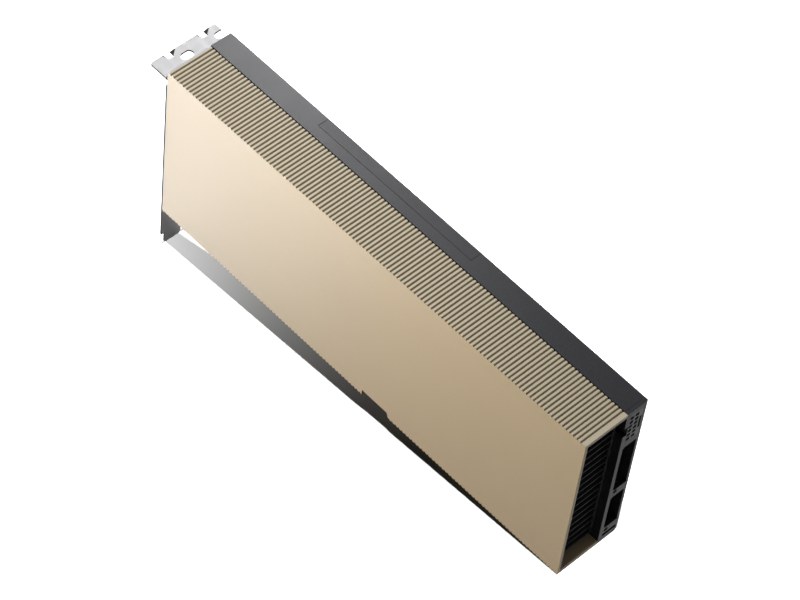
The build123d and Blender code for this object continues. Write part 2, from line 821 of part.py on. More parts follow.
def vents():
    """Long vents for the air that leaves the fins."""
    vent = Rectangle(vent_width, vent_length)
    vent = chamfer(vent.vertices(), vent_corner)
    columns = [vent_first + i * vent_pitch for i in range(vent_columns)]
    rows = [vent_low + vent_length / 2 + k * (vent_length + vent_gap) for k in range(vent_rows)]
    return [Pos(y, z) * vent for y in columns for z in rows]


def flange_cuts():
    """Screw slots, lead-in notches and rounded corners of the flange, seen from above."""
    cuts = []
    for k in (0, 1):
        y = bracket_front + flange_hole_y + k * slot_pitch
        slot = SlotOverall(flange_hole_length, 2 * flange_hole_r, rotation=90)
        cuts.append(Pos(-flange_hole_x, y) * slot)
        start = bracket_front + notch_front + k * slot_pitch
        notch = rect(-flange_reach - notch_corner_r * 2, notch_depth - flange_reach,
                     start, start + notch_width)
        cuts.append(fillet(notch.vertices().group_by(Axis.X)[-1], notch_corner_r))
    return cuts


def notch_ramps(start):
    """Ramps pressed into the flange's upper face beside a notch, deepest at the outer corner."""
    ramps = []
    for y, side, width in ((start, -1, notch_ramp_narrow), (start + notch_width, 1, notch_ramp_wide)):
        corner = Vector(-flange_reach, y, flange_z)
        along = Vector(-flange_reach, y + side * width, flange_z)
        inner = Vector(notch_depth - flange_reach - notch_corner_r, y, flange_z)
        low = Vector(-flange_reach, y, flange_z - notch_ramp_depth)
        ramps.append(pyramid(corner, along, inner, low))
    return ramps


def pyramid(a, b, c, d):
    """Solid with the four corners a, b, c and d."""
    sides = ((a, b, c), (a, b, d), (b, c, d), (c, a, d))
    faces = [Face(Wire.make_polygon(side, close=True)) for side in sides]
    return Solid(Shell(faces))


def placed(shape):
    """Move a piece from the building axes to the card's own origin."""
    middle_x = (body_length - flange_reach) / 2
    middle_y = (bracket_front + bracket_width) / 2
    return Pos(-middle_x, -middle_y, bracket_drop) * shape


pieces = [
    front_shroud, cooling_fins, heat_spreader, base_frame, back_cover, link_lid, circuit_board,
    gpu_substrate, gpu_die, memory_stacks, package_ring, chokes, power_stages, thermal_pads,
    filter_capacitors, control_chips, bypass_capacitors, spring_plate, insulating_film,
    power_header, power_pins, cover_screws, shroud_screws, retention_screws, bracket_screws, io_bracket,
]

os.makedirs("parts", exist_ok=True)
for piece in pieces:
    export_step(placed(piece()), f"parts/{piece.__name__}.step")
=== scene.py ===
import math

import bmesh
import bpy
from bpy.props import FloatProperty, FloatVectorProperty, IntProperty, PointerProperty
from bpy.types import Operator, Panel, PropertyGroup
from mathutils import Matrix, Vector


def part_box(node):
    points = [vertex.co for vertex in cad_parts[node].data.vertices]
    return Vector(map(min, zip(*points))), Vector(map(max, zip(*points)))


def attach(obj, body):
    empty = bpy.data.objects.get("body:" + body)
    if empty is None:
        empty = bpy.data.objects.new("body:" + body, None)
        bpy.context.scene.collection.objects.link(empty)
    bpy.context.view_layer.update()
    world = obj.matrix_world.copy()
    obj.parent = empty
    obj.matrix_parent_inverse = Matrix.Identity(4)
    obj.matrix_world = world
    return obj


bl_info = {
    "name": "Fanless Accelerator Card",
    "version": (1, 0, 0),
    "blender": (4, 5, 0),
    "location": "View3D > Sidebar > Card",
    "description": "Finishes for the solids of a ribbed accelerator card, its contact pads and its stage",
    "category": "Object",
}

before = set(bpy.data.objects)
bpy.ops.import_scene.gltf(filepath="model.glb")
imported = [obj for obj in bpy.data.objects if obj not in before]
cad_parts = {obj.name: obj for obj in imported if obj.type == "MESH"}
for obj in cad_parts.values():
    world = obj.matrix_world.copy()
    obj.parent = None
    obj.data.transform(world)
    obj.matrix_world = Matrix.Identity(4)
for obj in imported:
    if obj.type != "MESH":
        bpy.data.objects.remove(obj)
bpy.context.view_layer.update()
MM = 0.001

# Nearly all of a random pattern lies between these two values
GRAIN_LOW, GRAIN_HIGH = 0.3, 0.7
# Colour sockets of a Mix node, by number because its other kinds of data share their names
MIX_PLAIN, MIX_FULL, MIX_RESULT = 6, 7, 2

# Parts of the rib's height: where its flank goes from the painted shade of the grooves to the painted
# highlight of the crests, and where the ribs start
RIB_FLANK = (0.35, 0.85)
RIB_FOOT = 0.02
# How squarely a face looks along its axis, from where it starts to count to where it counts in full
END_FACE = (0.5, 0.8)
SHEET_FACE = (0.98, 0.998)
# Painted shade on the end faces of the shroud: how light they are, as a share of its gold
END_PAINTED_SHADE = 0.46
# How much of a contact pad's width its corners lose
PAD_CUT = 0.2

# Where the lamps stand and aim, in metres
BODY_MIDDLE = (0.0, -0.02, 0.08)
UPPER_EDGE = (-0.05, 0.0, 0.12)
HIGH_NEAR = (-0.45, 0.36, 0.6)
HIGH_FAR = (-0.5, 0.52, 0.95)
# Which way the light of the suns falls
FROM_ABOVE = (0.0, 0.107, -1.0)
FROM_BEHIND = (0.0, -1.0, -1.0)
# Name, power setting, share of that power, size in metres, place and aim
CARD_LAMPS = (
    ("table_near", "table_power", 1.65, 0.3, (-0.45, -0.36, -0.42), BODY_MIDDLE),
    ("table_far", "table_power", 1.78, 0.3, (-0.55, -0.5, -0.42), BODY_MIDDLE),
    ("front_high", "front_power", 1.0, 0.15, (-0.045, -0.28, 0.28), BODY_MIDDLE),
    ("top_far", "top_power", 1.9, 0.25, HIGH_FAR, UPPER_EDGE),
    ("top_near", "top_power", 0.85, 0.15, HIGH_NEAR, UPPER_EDGE),
)
BLACK_LAMPS = (
    ("band_near", "band_power", 1.0, 0.15, HIGH_NEAR, UPPER_EDGE),
    ("band_far", "band_power", 0.33, 0.25, HIGH_FAR, UPPER_EDGE),
)
FLOOR_LAMPS = (
    ("foot_glow", "foot_power", 1.0, 0.03, (-0.147, -0.075, 0.112), (-0.637, 0.345, -0.658)),
    ("heel_glow", "heel_power", 1.0, 0.02, (0.163, -0.047, 0.085), (0.803, 0.293, -0.605)),
)
# Name, strength setting, share of that strength, and which way the light falls
CARD_SUNS = (
    ("overhead", "overhead", 1.0, FROM_ABOVE),
)
FLOOR_SUNS = (
    ("floor_overhead", "floor_lamp", 1.0, FROM_ABOVE),
    ("floor_back", "floor_lamp", 1.4, FROM_BEHIND),
)
# Pieces that have more lamps of their own
BLACK_PIECES = ("base_frame", "back_cover", "link_lid")
# Pieces that keep the light from behind off the floor
WALL_PIECES = ("front_shroud", "base_frame", "back_cover", "io_bracket")

# From the middle of the floor to its edges, in metres
FLOOR_REACH = 4
# The camera's place in metres, and the directions to its right and upwards
CAMERA_PLACE = (0.58181, -0.66647, 1.21230)
CAMERA_RIGHT = (0.6816554, 0.7268335, 0.0840176)
CAMERA_UP = (-0.6136516, 0.505384, 0.6066454)


class Signal:
    """A socket in a finish, on which shader maths is written as plain expressions."""

    def __init__(self, finish, socket):
        self.finish = finish
        self.socket = socket

    def maths(self, operation, left, right):
        return self.finish.node("ShaderNodeMath", {"operation": operation}, {0: left, 1: right})

    def __add__(self, other):
        return self.maths("ADD", self, other)

    __radd__ = __add__

    def __sub__(self, other):
        return self.maths("SUBTRACT", self, other)

    def __rsub__(self, other):
        return self.maths("SUBTRACT", other, self)

    def __mul__(self, other):
        return self.maths("MULTIPLY", self, other)

    __rmul__ = __mul__

    def __gt__(self, other):
        return self.maths("GREATER_THAN", self, other)

    def __lt__(self, other):
        return self.maths("LESS_THAN", self, other)

    def __abs__(self):
        return self.finish.node("ShaderNodeMath", {"operation": "ABSOLUTE"}, {0: self})


class Finish:
    """A material with one Principled shader, and the nodes that vary it."""

    def __init__(self, name, **values):
        self.material = bpy.data.materials.new(name)
        self.material.use_nodes = True
        self.tree = self.material.node_tree
        self.shader = self.tree.nodes["Principled BSDF"]
        self.surface(**values)

    def feed(self, socket, value):
        """Link a signal to a socket, or set the socket to a plain value."""
        if isinstance(value, Signal):
            self.tree.links.new(value.socket, socket)
        else:
            socket.default_value = value

    def surface(self, **values):
        """Feed the shader's sockets, each under its name in small letters."""
        for name, value in values.items():
            self.feed(self.shader.inputs[name.replace("_", " ").title().replace("Ior", "IOR")], value)

    def node(self, kind, settings=None, inputs=None, output=0):
        """Any node, from its type, its settings, its sockets' values or links, and the output wanted."""
        made = self.tree.nodes.new(kind)
        for key, value in (settings or {}).items():
            setattr(made, key, value)
        for key, value in (inputs or {}).items():
            self.feed(made.inputs[key], value)
        return Signal(self, made.outputs[output])

    def place(self, stretch=(1, 1, 1)):
        """Place on the piece in metres, stretched along each axis."""
        where = self.node("ShaderNodeTexCoord", output="Object")
        return self.node("ShaderNodeVectorMath", {"operation": "MULTIPLY"}, {0: where, 1: stretch})

    def along(self, vector, name):
        """One coordinate of a vector."""
        return self.node("ShaderNodeSeparateXYZ", inputs={"Vector": vector}, output=name)

    def axis(self, name):
        """One coordinate on the piece, in metres."""
        return self.along(self.place(), name)

    def facing(self, name):
        """How far the surface faces along one axis, from -1 to 1."""
        return self.along(self.node("ShaderNodeTexCoord", output="Normal"), name)

    def grain(self, size, detail=3.0, stretch=(1, 1, 1)):
        """Soft random pattern whose spots are about this long, in metres."""
        return self.node("ShaderNodeTexNoise", inputs={"Vector": self.place(stretch), "Scale": 1 / size,
                                                       "Detail": detail, "Roughness": 0.55})

    def level(self, signal, low, high, out_low, out_high):
        """Stretch the part of a signal between low and high, and hold it there beyond."""
        return self.node("ShaderNodeMapRange", inputs={"Value": signal, "From Min": low, "From Max": high,
                                                       "To Min": out_low, "To Max": out_high})

    def mask(self, signal, low, high):
        """0 up to low, 1 from high on, and a slope between them."""
        return self.level(signal, low, high, 0.0, 1.0)

    def spread(self, pattern, out_low, out_high):
        """A random pattern that fills the range between two values."""
        return self.level(pattern, GRAIN_LOW, GRAIN_HIGH, out_low, out_high)

    def tint(self, mask, plain, full):
        """Colour that goes from plain to full with the mask."""
        return self.node("ShaderNodeMix", {"data_type": "RGBA"}, {0: mask, MIX_PLAIN: plain, MIX_FULL: full},
                         MIX_RESULT)

    def vary(self, pattern, colour, shades, roughness):
        """Two shades of a colour and two values of roughness, mixed by one pattern."""
        low, high = shades
        self.surface(base_color=self.tint(pattern, shade(colour, low), shade(colour, high)),
                     roughness=self.spread(pattern, *roughness))

    def relief(self, height, depth, soft_edge=0.0):
        """Bump of this depth in metres, on edges rounded by soft_edge."""
        inputs = {"Height": height, "Distance": depth, "Strength": 1.0}
        if soft_edge:
            inputs["Normal"] = self.node("ShaderNodeBevel", {"samples": 4}, {"Radius": soft_edge})
        self.surface(normal=self.node("ShaderNodeBump", inputs=inputs))


class Surround(Finish):
    """The world's nodes, with the same way to write them as a finish."""

    def __init__(self, world):
        world.use_nodes = True
        self.tree = world.node_tree
        self.shader = self.tree.nodes["Background"]


def shade(colour, factor):
    """The same colour, lighter or darker."""
    return tuple(min(1.0, c * factor) for c in colour[:3]) + (1.0,)


def dress(finish, *nodes):
    """Give CAD nodes a finish."""
    for name in nodes:
        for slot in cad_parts[name].material_slots:
            slot.material = finish.material


class ShellSettings(PropertyGroup):
    """Colours and coats of the gold shroud and the black shell"""
    gold: FloatVectorProperty(
        name="Gold", description="Colour of the ribbed front shroud", subtype="COLOR", size=4,
        min=0.0, max=1.0, default=(0.485, 0.37, 0.223, 1.0))
    black: FloatVectorProperty(
        name="Black", description="Colour of the coat on the frame and the back cover", subtype="COLOR",
        size=4, min=0.0, max=1.0, default=(0.016, 0.0165, 0.0195, 1.0))
    # Rib colours: both are paler than the gold, a painted sheen; the crests are lighter, brushed metal with a
    # painted highlight, and the grooves darker, painted shade
    brushed_crest_and_highlight: FloatVectorProperty(
        name="Rib crest", description="Colour of the brushed crests of the ribs", subtype="COLOR", size=4,
        min=0.0, max=1.0, default=(0.5, 0.445, 0.325, 1.0))
    groove_sheen_and_shade: FloatVectorProperty(
        name="Groove", description="Colour of the floors between the ribs", subtype="COLOR", size=4,
        min=0.0, max=1.0, default=(0.45, 0.395, 0.28, 1.0))
    rib_depth: FloatProperty(
        name="Rib depth", description="Depth of the grooves", unit="LENGTH", default=0.9 * MM)
    stipple: FloatProperty(
        name="Stipple", description="Size of the grains in the coats", unit="LENGTH", default=0.35 * MM)
    soft_edge: FloatProperty(
        name="Soft edge", description="Rounding of the shell's edges", unit="LENGTH", default=0.12 * MM)


class CoolingSettings(PropertyGroup):
    """Colours of the fins and the chamber"""
    fin: FloatVectorProperty(
        name="Fin", description="Colour of the dark fins", subtype="COLOR", size=4, min=0.0, max=1.0,
        default=(0.014, 0.014, 0.0155, 1.0))
    chamber: FloatVectorProperty(
        name="Chamber", description="Colour of the blackened chamber", subtype="COLOR", size=4,
        min=0.0, max=1.0, default=(0.012, 0.012, 0.013, 1.0))


class BoardSettings(PropertyGroup):
    """Colours of the board and the sizes of its contact pads"""
    mask: FloatVectorProperty(
        name="Solder mask", description="Colour of the coated board", subtype="COLOR", size=4,
        min=0.0, max=1.0, default=(0.006, 0.03, 0.016, 1.0))
    plating: FloatVectorProperty(
        name="Plating", description="Colour of the contact pads and pins", subtype="COLOR", size=4,
        min=0.0, max=1.0, default=(0.75, 0.52, 0.2, 1.0))
    pad_pitch: FloatProperty(
        name="Pad pitch", description="Distance from one contact pad to the next", unit="LENGTH",
        default=1.0 * MM)
    pad_width: FloatProperty(
        name="Pad width", description="Width of a contact pad", unit="LENGTH", default=0.7 * MM)
    pad_length: FloatProperty(
        name="Pad length", description="Height of a contact pad", unit="LENGTH", default=4.3 * MM)
    pad_thickness: FloatProperty(
        name="Pad thickness", description="How far a pad stands out of the board", unit="LENGTH",
        default=0.04 * MM)
    tip_gap: FloatProperty(
        name="Tip gap", description="Bare board under the pads", unit="LENGTH", default=1.3 * MM)
    key_place: FloatProperty(
        name="Key place", description="Middle of the key, from the board's bracket end", unit="LENGTH",
        default=54.45 * MM)
    key_step: FloatProperty(
        name="Key step", description="From the middle of the key to the middle of the next pad",
        unit="LENGTH", default=1.5 * MM)
    pads_before_key: IntProperty(
        name="Pads before the key", description="Pads on each face between bracket and key", default=11)
    pads_after_key: IntProperty(
        name="Pads after the key", description="Pads on each face behind the key", default=71)


class BracketSettings(PropertyGroup):
    """Colours of the slot bracket's plate and of its sheared edges and tilted facets, which carry painted
    shade
    """
    zinc: FloatVectorProperty(
        name="Zinc", description="Colour of the plated bracket", subtype="COLOR", size=4, min=0.0,
        max=1.0, default=(0.34, 0.34, 0.346, 1.0))
    spangle: FloatProperty(
        name="Spangle", description="Size of the patches in the plating", unit="LENGTH", default=3.0 * MM)
    # Near black for the sheared edges and tilted facets: partly the bare cut edge, partly painted shade
    cut: FloatVectorProperty(
        name="Cut edge", description="Colour of the sheared edges of the sheet", subtype="COLOR", size=4,
        min=0.0, max=1.0, default=(0.03, 0.028, 0.027, 1.0))
    flange_zone: FloatProperty(
        name="Flange zone", description="Height of the bent end of the sheet", unit="LENGTH",
        default=1.2 * MM)


class StageSettings(PropertyGroup):
    """Lamps, floor and lens"""
    ambient: FloatProperty(
        name="Ambient", description="Light from all round on the object", default=0.1)
    overhead: FloatProperty(
        name="Overhead", description="Strength of the sun over the card", default=0.85)
    front_power: FloatProperty(
        name="Front power", description="Lamp before the card, above its upper edge", subtype="POWER",
        default=0.83)
    band_power: FloatProperty(
        name="Band power", description="More light on the black pieces, from the bracket end",
        subtype="POWER", default=2.35)
    overhead_size: FloatProperty(
        name="Overhead size", description="Angle that each sun fills", subtype="ANGLE",
        default=math.radians(1.5))
    floor_lamp: FloatProperty(
        name="Floor lamp", description="Light from above and behind, on the floor alone", default=28.0)
    foot_power: FloatProperty(
        name="Foot power", description="Glow on the floor alone, by the bracket's foot", subtype="POWER",
        default=1.25)
    heel_power: FloatProperty(
        name="Heel power", description="Glow on the floor alone, by the rear end", subtype="POWER",
        default=0.01)
    table_power: FloatProperty(
        name="Table power", description="Lamps under the table, at the bracket end", subtype="POWER",
        default=0.82)
    top_power: FloatProperty(
        name="Top power", description="Lamps behind the bracket, mirrored in the upper edge",
        subtype="POWER", default=1.0)
    floor_seen: FloatVectorProperty(
        name="Floor", description="Floor colour that the camera sees", subtype="COLOR", size=4,
        min=0.0, max=1.0, default=(0.12, 0.12, 0.12, 1.0))
    floor_mirrored: FloatVectorProperty(
        name="Mirrored floor", description="Floor colour in reflections", subtype="COLOR", size=4,
        min=0.0, max=1.0, default=(0.05, 0.05, 0.05, 1.0))
    floor_light: FloatVectorProperty(
        name="Floor light", description="Floor colour that lights the object", subtype="COLOR", size=4,
        min=0.0, max=1.0, default=(0.015, 0.015, 0.015, 1.0))
    lens: FloatProperty(
        name="Lens", description="Focal length of the camera in millimetres", subtype="DISTANCE_CAMERA",
        default=144.465)


class CARD_OT_shroud(Operator):
    """Anodised gold on the ribbed shroud, with a fine stipple; the ribs carry painted shade in the grooves
    and a painted highlight on the crests, and the rear end faces carry painted shade
    """
    bl_idname = "card.shroud"
    bl_label = "Gold shroud"

    def execute(self, context):
        shell = context.scene.card_shell
        gold = Finish("gold_anodised", specular_ior_level=0.3)
        stipple = gold.grain(shell.stipple, detail=2.0)
        cloud = gold.grain(60 * MM, detail=2.0)
        mottle = gold.spread(stipple * 0.7 + cloud * 0.3, 0.0, 1.0)
        satin = gold.tint(mottle, shade(shell.gold, 0.95), shade(shell.gold, 1.05))
        low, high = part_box("front_shroud")
        height = gold.mask(gold.axis("Z"), high.z - shell.rib_depth, high.z)
        # Painted light on the ribs: by height, from the painted shade in the grooves up to the painted
        # highlight on the crests
        ribs = gold.tint(gold.mask(height, *RIB_FLANK), tuple(shell.groove_sheen_and_shade), tuple(shell.brushed_crest_and_highlight))
        on_ribs = (height > RIB_FOOT) * (gold.axis("Y") > (low.y + shell.soft_edge))
        # Painted shade: faces that look towards the rear end, the rib flanks on that side among them, are
        # darkened to a share of the gold
        end = gold.mask(gold.facing("X"), *END_FACE)
        gold.surface(base_color=gold.tint(end, gold.tint(on_ribs, satin, ribs), shade(shell.gold, END_PAINTED_SHADE)),
                     roughness=gold.spread(stipple, 0.3, 0.4))
        gold.relief(stipple, 0.01 * MM, shell.soft_edge)
        dress(gold, "front_shroud")
        return {"FINISHED"}


class CARD_OT_black_shell(Operator):
    """Fine matt black coat on the frame and the back cover, and a moulded lid"""
    bl_idname = "card.black_shell"
    bl_label = "Black shell"

    def execute(self, context):
        shell = context.scene.card_shell
        coat = Finish("black_coat", specular_ior_level=0.1)
        stipple = coat.grain(shell.stipple)
        cloud = coat.grain(40 * MM)
        coat.surface(base_color=coat.tint(coat.mask(stipple, 0.35, 0.7), shade(shell.black, 0.8),
                                          shade(shell.black, 1.35)),
                     roughness=coat.spread(stipple * 0.6 + cloud * 0.4, 0.27, 0.37))
        coat.relief(stipple, 0.012 * MM, shell.soft_edge)
        dress(coat, "base_frame", "back_cover")

        lid = Finish("lid_moulding", specular_ior_level=0.1)
        spark = lid.grain(shell.stipple * 0.8, detail=2.0)
        lid.vary(spark, shell.black, shades=(0.9, 1.2), roughness=(0.28, 0.38))
        lid.relief(spark, 0.015 * MM, shell.soft_edge)
        dress(lid, "link_lid")
        return {"FINISHED"}


class CARD_OT_cooling(Operator):
    """Rolled dark fins and the blackened chamber"""
    bl_idname = "card.cooling"
    bl_label = "Fins and chamber"

    def execute(self, context):
        cooling = context.scene.card_cooling
        fin = Finish("fin_rolled", metallic=0.3, specular_ior_level=0.2)
        rolled = fin.grain(0.8 * MM, stretch=(0.03, 1, 1))
        fin.vary(rolled, cooling.fin, shades=(0.8, 1.3), roughness=(0.45, 0.6))
        fin.relief(rolled, 0.01 * MM)
        dress(fin, "cooling_fins")

        chamber = Finish("chamber_blackened", metallic=0.5)
        oxide = chamber.grain(5 * MM, detail=4.0)
        chamber.vary(oxide, cooling.chamber, shades=(0.8, 1.4), roughness=(0.5, 0.65))
        chamber.relief(chamber.grain(0.4 * MM), 0.01 * MM)
        dress(chamber, "heat_spreader")
        return {"FINISHED"}


class CARD_OT_board(Operator):
    """Solder mask over fine tracks, and the finishes of what stands on the board"""
    bl_idname = "card.board"
    bl_label = "Circuit board"

    def execute(self, context):
        board = context.scene.card_board
        solder = Finish("solder_mask", coat_weight=0.3, coat_roughness=0.2)
        tracks = solder.node("ShaderNodeTexBrick", {"offset": 0.5}, {
            "Vector": solder.place((1, 0.0, 1)), "Scale": 1 / (1.1 * MM), "Mortar Size": 0.06, "Bias": 0.0,
            "Brick Width": 3.0, "Row Height": 0.6}, "Fac")
        patch = solder.mask(solder.grain(9 * MM, detail=1.0), 0.45, 0.55)
        copper = (1 - tracks) * patch
        solder.surface(base_color=solder.tint(copper, board.mask, shade(board.mask, 1.8)),
                       roughness=solder.spread(solder.grain(2 * MM), 0.28, 0.4))
        solder.relief(copper, 0.02 * MM)
        dress(solder, "circuit_board")

        laminate = Finish("carrier_laminate")
        weave = laminate.grain(0.5 * MM, detail=2.0)
        laminate.vary(weave, board.mask, shades=(0.8, 1.5), roughness=(0.35, 0.5))
        laminate.relief(weave, 0.01 * MM)
        dress(laminate, "gpu_substrate")

        silicon = Finish("silicon_polished", metallic=0.4)
        haze = silicon.grain(6 * MM, detail=2.0)
        silicon.surface(base_color=silicon.tint(haze, (0.03, 0.032, 0.04, 1.0), (0.05, 0.05, 0.06, 1.0)),
                        roughness=silicon.spread(haze, 0.12, 0.22))
        dress(silicon, "gpu_die", "memory_stacks")

        for name, colour, roughness, nodes in (
                ("moulding_dark", (0.008, 0.008, 0.009), 0.6, ("chokes", "power_stages", "control_chips")),
                ("pad_silicone", (0.17, 0.19, 0.26), 0.75, ("thermal_pads",)),
                ("ceramic_tinned", (0.17, 0.09, 0.04), 0.45, ("bypass_capacitors",)),
                ("film_black", (0.01, 0.01, 0.01), 0.35, ("insulating_film",))):
            plain = Finish(name)
            speck = plain.grain(0.3 * MM, detail=2.0)
            plain.vary(speck, colour, shades=(0.8, 1.25), roughness=(roughness - 0.06, roughness + 0.06))
            plain.relief(speck, 0.015 * MM)
            dress(plain, *nodes)

        for name, colour, node in (
                ("ring_plated", (0.27, 0.27, 0.28), "package_ring"),
                ("can_drawn", (0.08, 0.08, 0.085), "filter_capacitors"),
                ("spring_rolled", (0.22, 0.22, 0.23), "spring_plate")):
            metal = Finish(name, metallic=1.0)
            rolled = metal.grain(0.4 * MM, stretch=(0.05, 1, 1))
            metal.vary(rolled, colour, shades=(0.85, 1.15), roughness=(0.3, 0.42))
            metal.relief(rolled, 0.008 * MM)
            dress(metal, node)
        return {"FINISHED"}


def pad_middles(board, start):
    """Middles of the contact pads along the board's edge, on both sides of the key."""
    key = start + board.key_place
    before = [key - board.key_step - k * board.pad_pitch for k in range(board.pads_before_key)]
    behind = [key + board.key_step + k * board.pad_pitch for k in range(board.pads_after_key)]
    return before + behind


def pad_outline(board):
    """Outline of a contact pad with cut corners, from the middle of its lower edge."""
    half = board.pad_width / 2
    cut = board.pad_width * PAD_CUT
    side, top = half - cut, board.pad_length - cut
    return [(-half, cut), (-side, 0), (side, 0), (half, cut),
            (half, top), (side, board.pad_length), (-side, board.pad_length), (-half, top)]


class CARD_OT_contacts(Operator):
    """Plated contact pads on both faces of the board's edge, and the power pins"""
    bl_idname = "card.contacts"
    bl_label = "Contacts"

    def execute(self, context):
        board = context.scene.card_board
        low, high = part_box("circuit_board")
        bottom = low.z + board.tip_gap
        mesh = bmesh.new()
        for x in pad_middles(board, low.x):
            for face, out in ((low.y, -1), (high.y, 1)):
                pad = mesh.faces.new([mesh.verts.new((x + a, face - out * board.pad_thickness, bottom + b))
                                      for a, b in pad_outline(board)])
                rise = bmesh.ops.extrude_face_region(mesh, geom=[pad])["geom"]
                top = [v for v in rise if isinstance(v, bmesh.types.BMVert)]
                bmesh.ops.translate(mesh, verts=top, vec=(0, out * 2 * board.pad_thickness, 0))
        bmesh.ops.recalc_face_normals(mesh, faces=mesh.faces)
        data = bpy.data.meshes.new("contact_pads")
        mesh.to_mesh(data)
        mesh.free()
        pads = bpy.data.objects.new("contact_pads", data)
        context.scene.collection.objects.link(pads)

        flash = Finish("gold_flash", metallic=1.0)
        rub = flash.grain(0.25 * MM, stretch=(1, 1, 0.06))
        flash.vary(rub, board.plating, shades=(0.85, 1.1), roughness=(0.2, 0.34))
        flash.relief(rub, 0.004 * MM)
        data.materials.append(flash.material)
        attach(pads, "root")
        dress(flash, "power_pins")
        return {"FINISHED"}


class CARD_OT_socket(Operator):
    """Black nylon of the power socket"""
    bl_idname = "card.socket"
    bl_label = "Power socket"

    def execute(self, context):
        nylon = Finish("nylon_black")
        fleck = nylon.grain(0.2 * MM, detail=2.0)
        nylon.vary(fleck, (0.006, 0.006, 0.006), shades=(1.0, 2.0), roughness=(0.4, 0.5))
        nylon.relief(fleck, 0.01 * MM, 0.1 * MM)
        dress(nylon, "power_header")
        return {"FINISHED"}


class CARD_OT_screws(Operator):
    """Black oxide and nickel on the screws"""
    bl_idname = "card.screws"
    bl_label = "Screws"

    def execute(self, context):
        for name, colour, nodes in (
                ("screw_black", (0.018, 0.018, 0.02), ("cover_screws", "shroud_screws", "bracket_screws")),
                ("screw_nickel", (0.4, 0.4, 0.4), ("retention_screws",))):
            steel = Finish(name, metallic=0.9)
            turned = steel.grain(0.3 * MM)
            steel.vary(turned, colour, shades=(0.8, 1.3), roughness=(0.3, 0.45))
            steel.relief(turned, 0.006 * MM, 0.05 * MM)
            dress(steel, *nodes)
        return {"FINISHED"}


class CARD_OT_bracket(Operator):
    """Zinc plate with soft patches on the slot bracket, and its sheared edges and tilted facets darkened,
    partly bare cut metal and partly painted shade
    """
    bl_idname = "card.bracket"
    bl_label = "Slot bracket"

    def execute(self, context):
        bracket = context.scene.card_bracket
        zinc = Finish("zinc_plate", specular_ior_level=0.3)
        spangle = zinc.grain(bracket.spangle, detail=4.0)
        fine = zinc.grain(0.3 * MM, detail=2.0)
        mottle = zinc.mask(spangle * 0.7 + fine * 0.3, 0.35, 0.65)
        plated = zinc.tint(mottle, shade(bracket.zinc, 0.9), shade(bracket.zinc, 1.04))
        # Faces that don't lie flat along the sheet, its cut edges and tilted facets, get the near-black edge
        # colour: partly bare cut metal, partly painted shade
        flange = zinc.axis("Z") > (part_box("io_bracket")[1].z - bracket.flange_zone)
        upright = abs(zinc.facing("X")) * (1 - flange)
        rolled = zinc.mask(upright + abs(zinc.facing("Z")) * flange, *SHEET_FACE)
        zinc.surface(base_color=zinc.tint(rolled, tuple(bracket.cut), plated), metallic=rolled * 0.45,
                     roughness=zinc.level(mottle, 0.0, 1.0, 0.38, 0.52) + (1 - rolled) * 0.4)
        zinc.relief(mottle, 0.01 * MM, 0.15 * MM)
        dress(zinc, "io_bracket")
        return {"FINISHED"}


def ray_kinds(finish):
    """Rays that see a surface straight or through glass, and rays that see it in a mirror."""
    camera, glass, mirror = (finish.node("ShaderNodeLightPath", output=name)
                             for name in ("Is Camera Ray", "Is Transmission Ray", "Is Glossy Ray"))
    return (camera + glass) > 0.5, mirror


def make_floor(scene):
    """Floor on which the bracket's tabs and the rear edge stand, clear from below and without a shadow."""
    stage = scene.card_stage
    rear_low, rear_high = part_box("base_frame")
    foot = Vector((rear_low.x, 0.0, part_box("io_bracket")[0].z))
    heel = Vector((rear_high.x, 0.0, rear_low.z))
    along = (heel - foot).normalized()
    corners = [foot + along * a * FLOOR_REACH + Vector((0, b * FLOOR_REACH, 0))
               for a, b in ((-1, -1), (1, -1), (1, 1), (-1, 1))]
    mesh = bpy.data.meshes.new("floor")
    mesh.from_pydata([tuple(c) for c in corners], [], [(0, 1, 2, 3)])
    floor = bpy.data.objects.new("floor", mesh)
    scene.collection.objects.link(floor)
    floor.visible_shadow = False

    paper = Finish("floor_paper", roughness=1.0, specular_ior_level=0.0)
    straight, mirror = ray_kinds(paper)
    mirrored = paper.tint(mirror, tuple(stage.floor_light), tuple(stage.floor_mirrored))
    paper.surface(base_color=paper.tint(straight, mirrored, tuple(stage.floor_seen)))
    below = paper.node("ShaderNodeNewGeometry", output="Backfacing")
    clear = paper.node("ShaderNodeBsdfTransparent")
    above = Signal(paper, paper.shader.outputs[0])
    sheet = paper.node("ShaderNodeMixShader", inputs={0: below, 1: above, 2: clear})
    paper.feed(paper.tree.nodes["Material Output"].inputs["Surface"], sheet)
    mesh.materials.append(paper.material)
    return floor


def make_surround(scene):
    """World that is white to the camera and in mirrors and glass, and dim as a light."""
    scene.world = bpy.data.worlds.new("surround")
    around = Surround(scene.world)
    straight, mirror = ray_kinds(around)
    around.surface(color=(1.0, 1.0, 1.0, 1.0),
                   strength=around.level(straight + mirror, 0.0, 1.0, scene.card_stage.ambient, 1.0))


def light(scene, name, kind, energy, falls):
    """Lamp of any kind, whose light falls this way."""
    data = bpy.data.lights.new(name, kind)
    data.energy = energy
    made = bpy.data.objects.new(name, data)
    made.rotation_euler = Vector(falls).to_track_quat("-Z", "Y").to_euler()
    scene.collection.objects.link(made)
    return made


def suns(scene, rows):
    """Lamps far away, each from a row of one of the tables of suns."""
    group = []
    for name, strength, share, falls in rows:
        made = light(scene, name, "SUN", getattr(scene.card_stage, strength) * share, falls)
        made.data.angle = scene.card_stage.overhead_size
        group.append(made)
    return group


